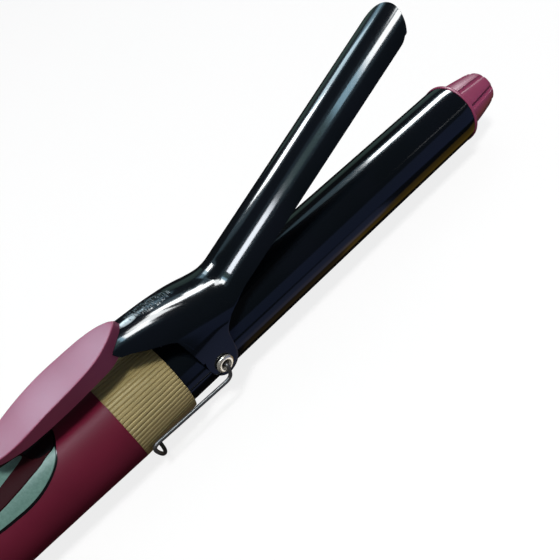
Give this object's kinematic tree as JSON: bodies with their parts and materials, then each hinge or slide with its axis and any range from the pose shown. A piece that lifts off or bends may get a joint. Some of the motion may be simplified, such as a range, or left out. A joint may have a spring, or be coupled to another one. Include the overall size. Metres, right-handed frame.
{
  "type": "spring clamp hair curling iron",
  "caption": "Spring-clamp hair curling iron with a round heated barrel, thumb lever, cool tip, fold-away wire stand, push keys and swivel cord inlet.",
  "frame": {"origin": "centre of the cord inlet's mouth, on the barrel's axis", "axes": "+X from the cord inlet to the cool tip along the barrel's axis; +Z to the clamp side; +Y completes a right-handed frame"},
  "size_m": [0.3736, 0.0372, 0.0873],
  "materials": {
    "black_enamel": "high gloss black enamel",
    "mauve_plastic": "satin-gloss mauve",
    "burgundy_plastic": "satin burgundy",
    "gold_plastic": "champagne gold, fluted",
    "black_plastic": "gloss black",
    "teal_plastic": "sage teal",
    "nickel_steel": "nickel plated",
    "steel_wire": "dark steel",
    "spring_steel": "blued spring steel",
    "steel_plain": "zinc plated",
    "spreader_aluminium": "extruded",
    "ceramic": "cream, heat resistant",
    "heater_wrap": "amber insulating film",
    "sensor_glass": "bead",
    "dark_plastic": "plain black",
    "board_green": "solder mask",
    "copper_brass": "contact brass",
    "blue_plastic": "terminal blue",
    "yellow_plastic": "capacitor case",
    "led_lens": "clear",
    "key_silver": "silver",
    "tinned_lead": "sleeved lead"
  },
  "bodies": {
    "iron": {"barrel_tube": "black_enamel", "tip_cap": "mauve_plastic", "heat_spreader_upper": "spreader_aluminium", "heat_spreader_lower": "spreader_aluminium", "ptc_heater": "heater_wrap", "thermal_fuse": "tinned_lead", "ntc_sensor": "sensor_glass", "heater_leads": "tinned_lead", "pivot_ring": "steel_plain", "pivot_eyelets": "nickel_steel", "pivot_washers": "dark_plastic", "clamp_spring": "spring_steel", "heat_collar": "gold_plastic", "barrel_holder": "ceramic", "holder_screws": "steel_plain", "handle_shell": "burgundy_plastic", "handle_screws": "steel_plain", "panel_plate": "black_plastic", "inlay_left": "teal_plastic", "inlay_right": "teal_plastic", "panel_trim": "burgundy_plastic", "key_panel": "teal_plastic", "display_window": "black_plastic", "key_switches": "dark_plastic", "indicator_leds": "led_lens", "circuit_board": "board_green", "triac": "dark_plastic", "mains_capacitor": "yellow_plastic", "terminal_block": "blue_plastic", "chassis": "dark_plastic", "end_cap": "burgundy_plastic", "gland_retainer": "dark_plastic", "contact_blades": "copper_brass"},
    "clamp": {"clamp_plate": "black_enamel", "thumb_grip": "mauve_plastic", "grip_screws": "steel_plain"},
    "stand": {"wire_stand": "steel_wire"},
    "power_key": {"power_key": "key_silver"},
    "plus_key": {"plus_key": "key_silver"},
    "minus_key": {"minus_key": "key_silver"},
    "cord_swivel": {"swivel_gland": "dark_plastic", "slip_core": "ceramic", "slip_rings": "copper_brass"}
  },
  "joints": [
    {"name": "clamp_pivot", "type": "hinge", "parent": "iron", "child": "clamp", "pos_m": [0.196, 0, 0], "axis": [0, -1, 0], "range_deg": [-20.8, 5.5], "stiffness_Nm_per_rad": 0.4, "springref_deg": -55, "deforming": ["clamp_spring"]},
    {"name": "stand_pivot", "type": "hinge", "parent": "iron", "child": "stand", "pos_m": [0.196, 0, 0], "axis": [0, -1, 0], "range_deg": [0, 100]},
    {"name": "power_key_press", "type": "slide", "parent": "iron", "child": "power_key", "axis": [0, 0, -1], "range_m": [0, 0.0006], "stiffness_N_per_m": 900, "springref_m": -0.0008},
    {"name": "plus_key_press", "type": "slide", "parent": "iron", "child": "plus_key", "axis": [0, 0, -1], "range_m": [0, 0.0006], "stiffness_N_per_m": 900, "springref_m": -0.0008},
    {"name": "minus_key_press", "type": "slide", "parent": "iron", "child": "minus_key", "axis": [0, 0, -1], "range_m": [0, 0.0006], "stiffness_N_per_m": 900, "springref_m": -0.0008},
    {"name": "cord_swivel_turn", "type": "hinge", "parent": "iron", "child": "cord_swivel", "pos_m": [0.02, 0, 0], "axis": [1, 0, 0], "continuous": true}
  ]
}
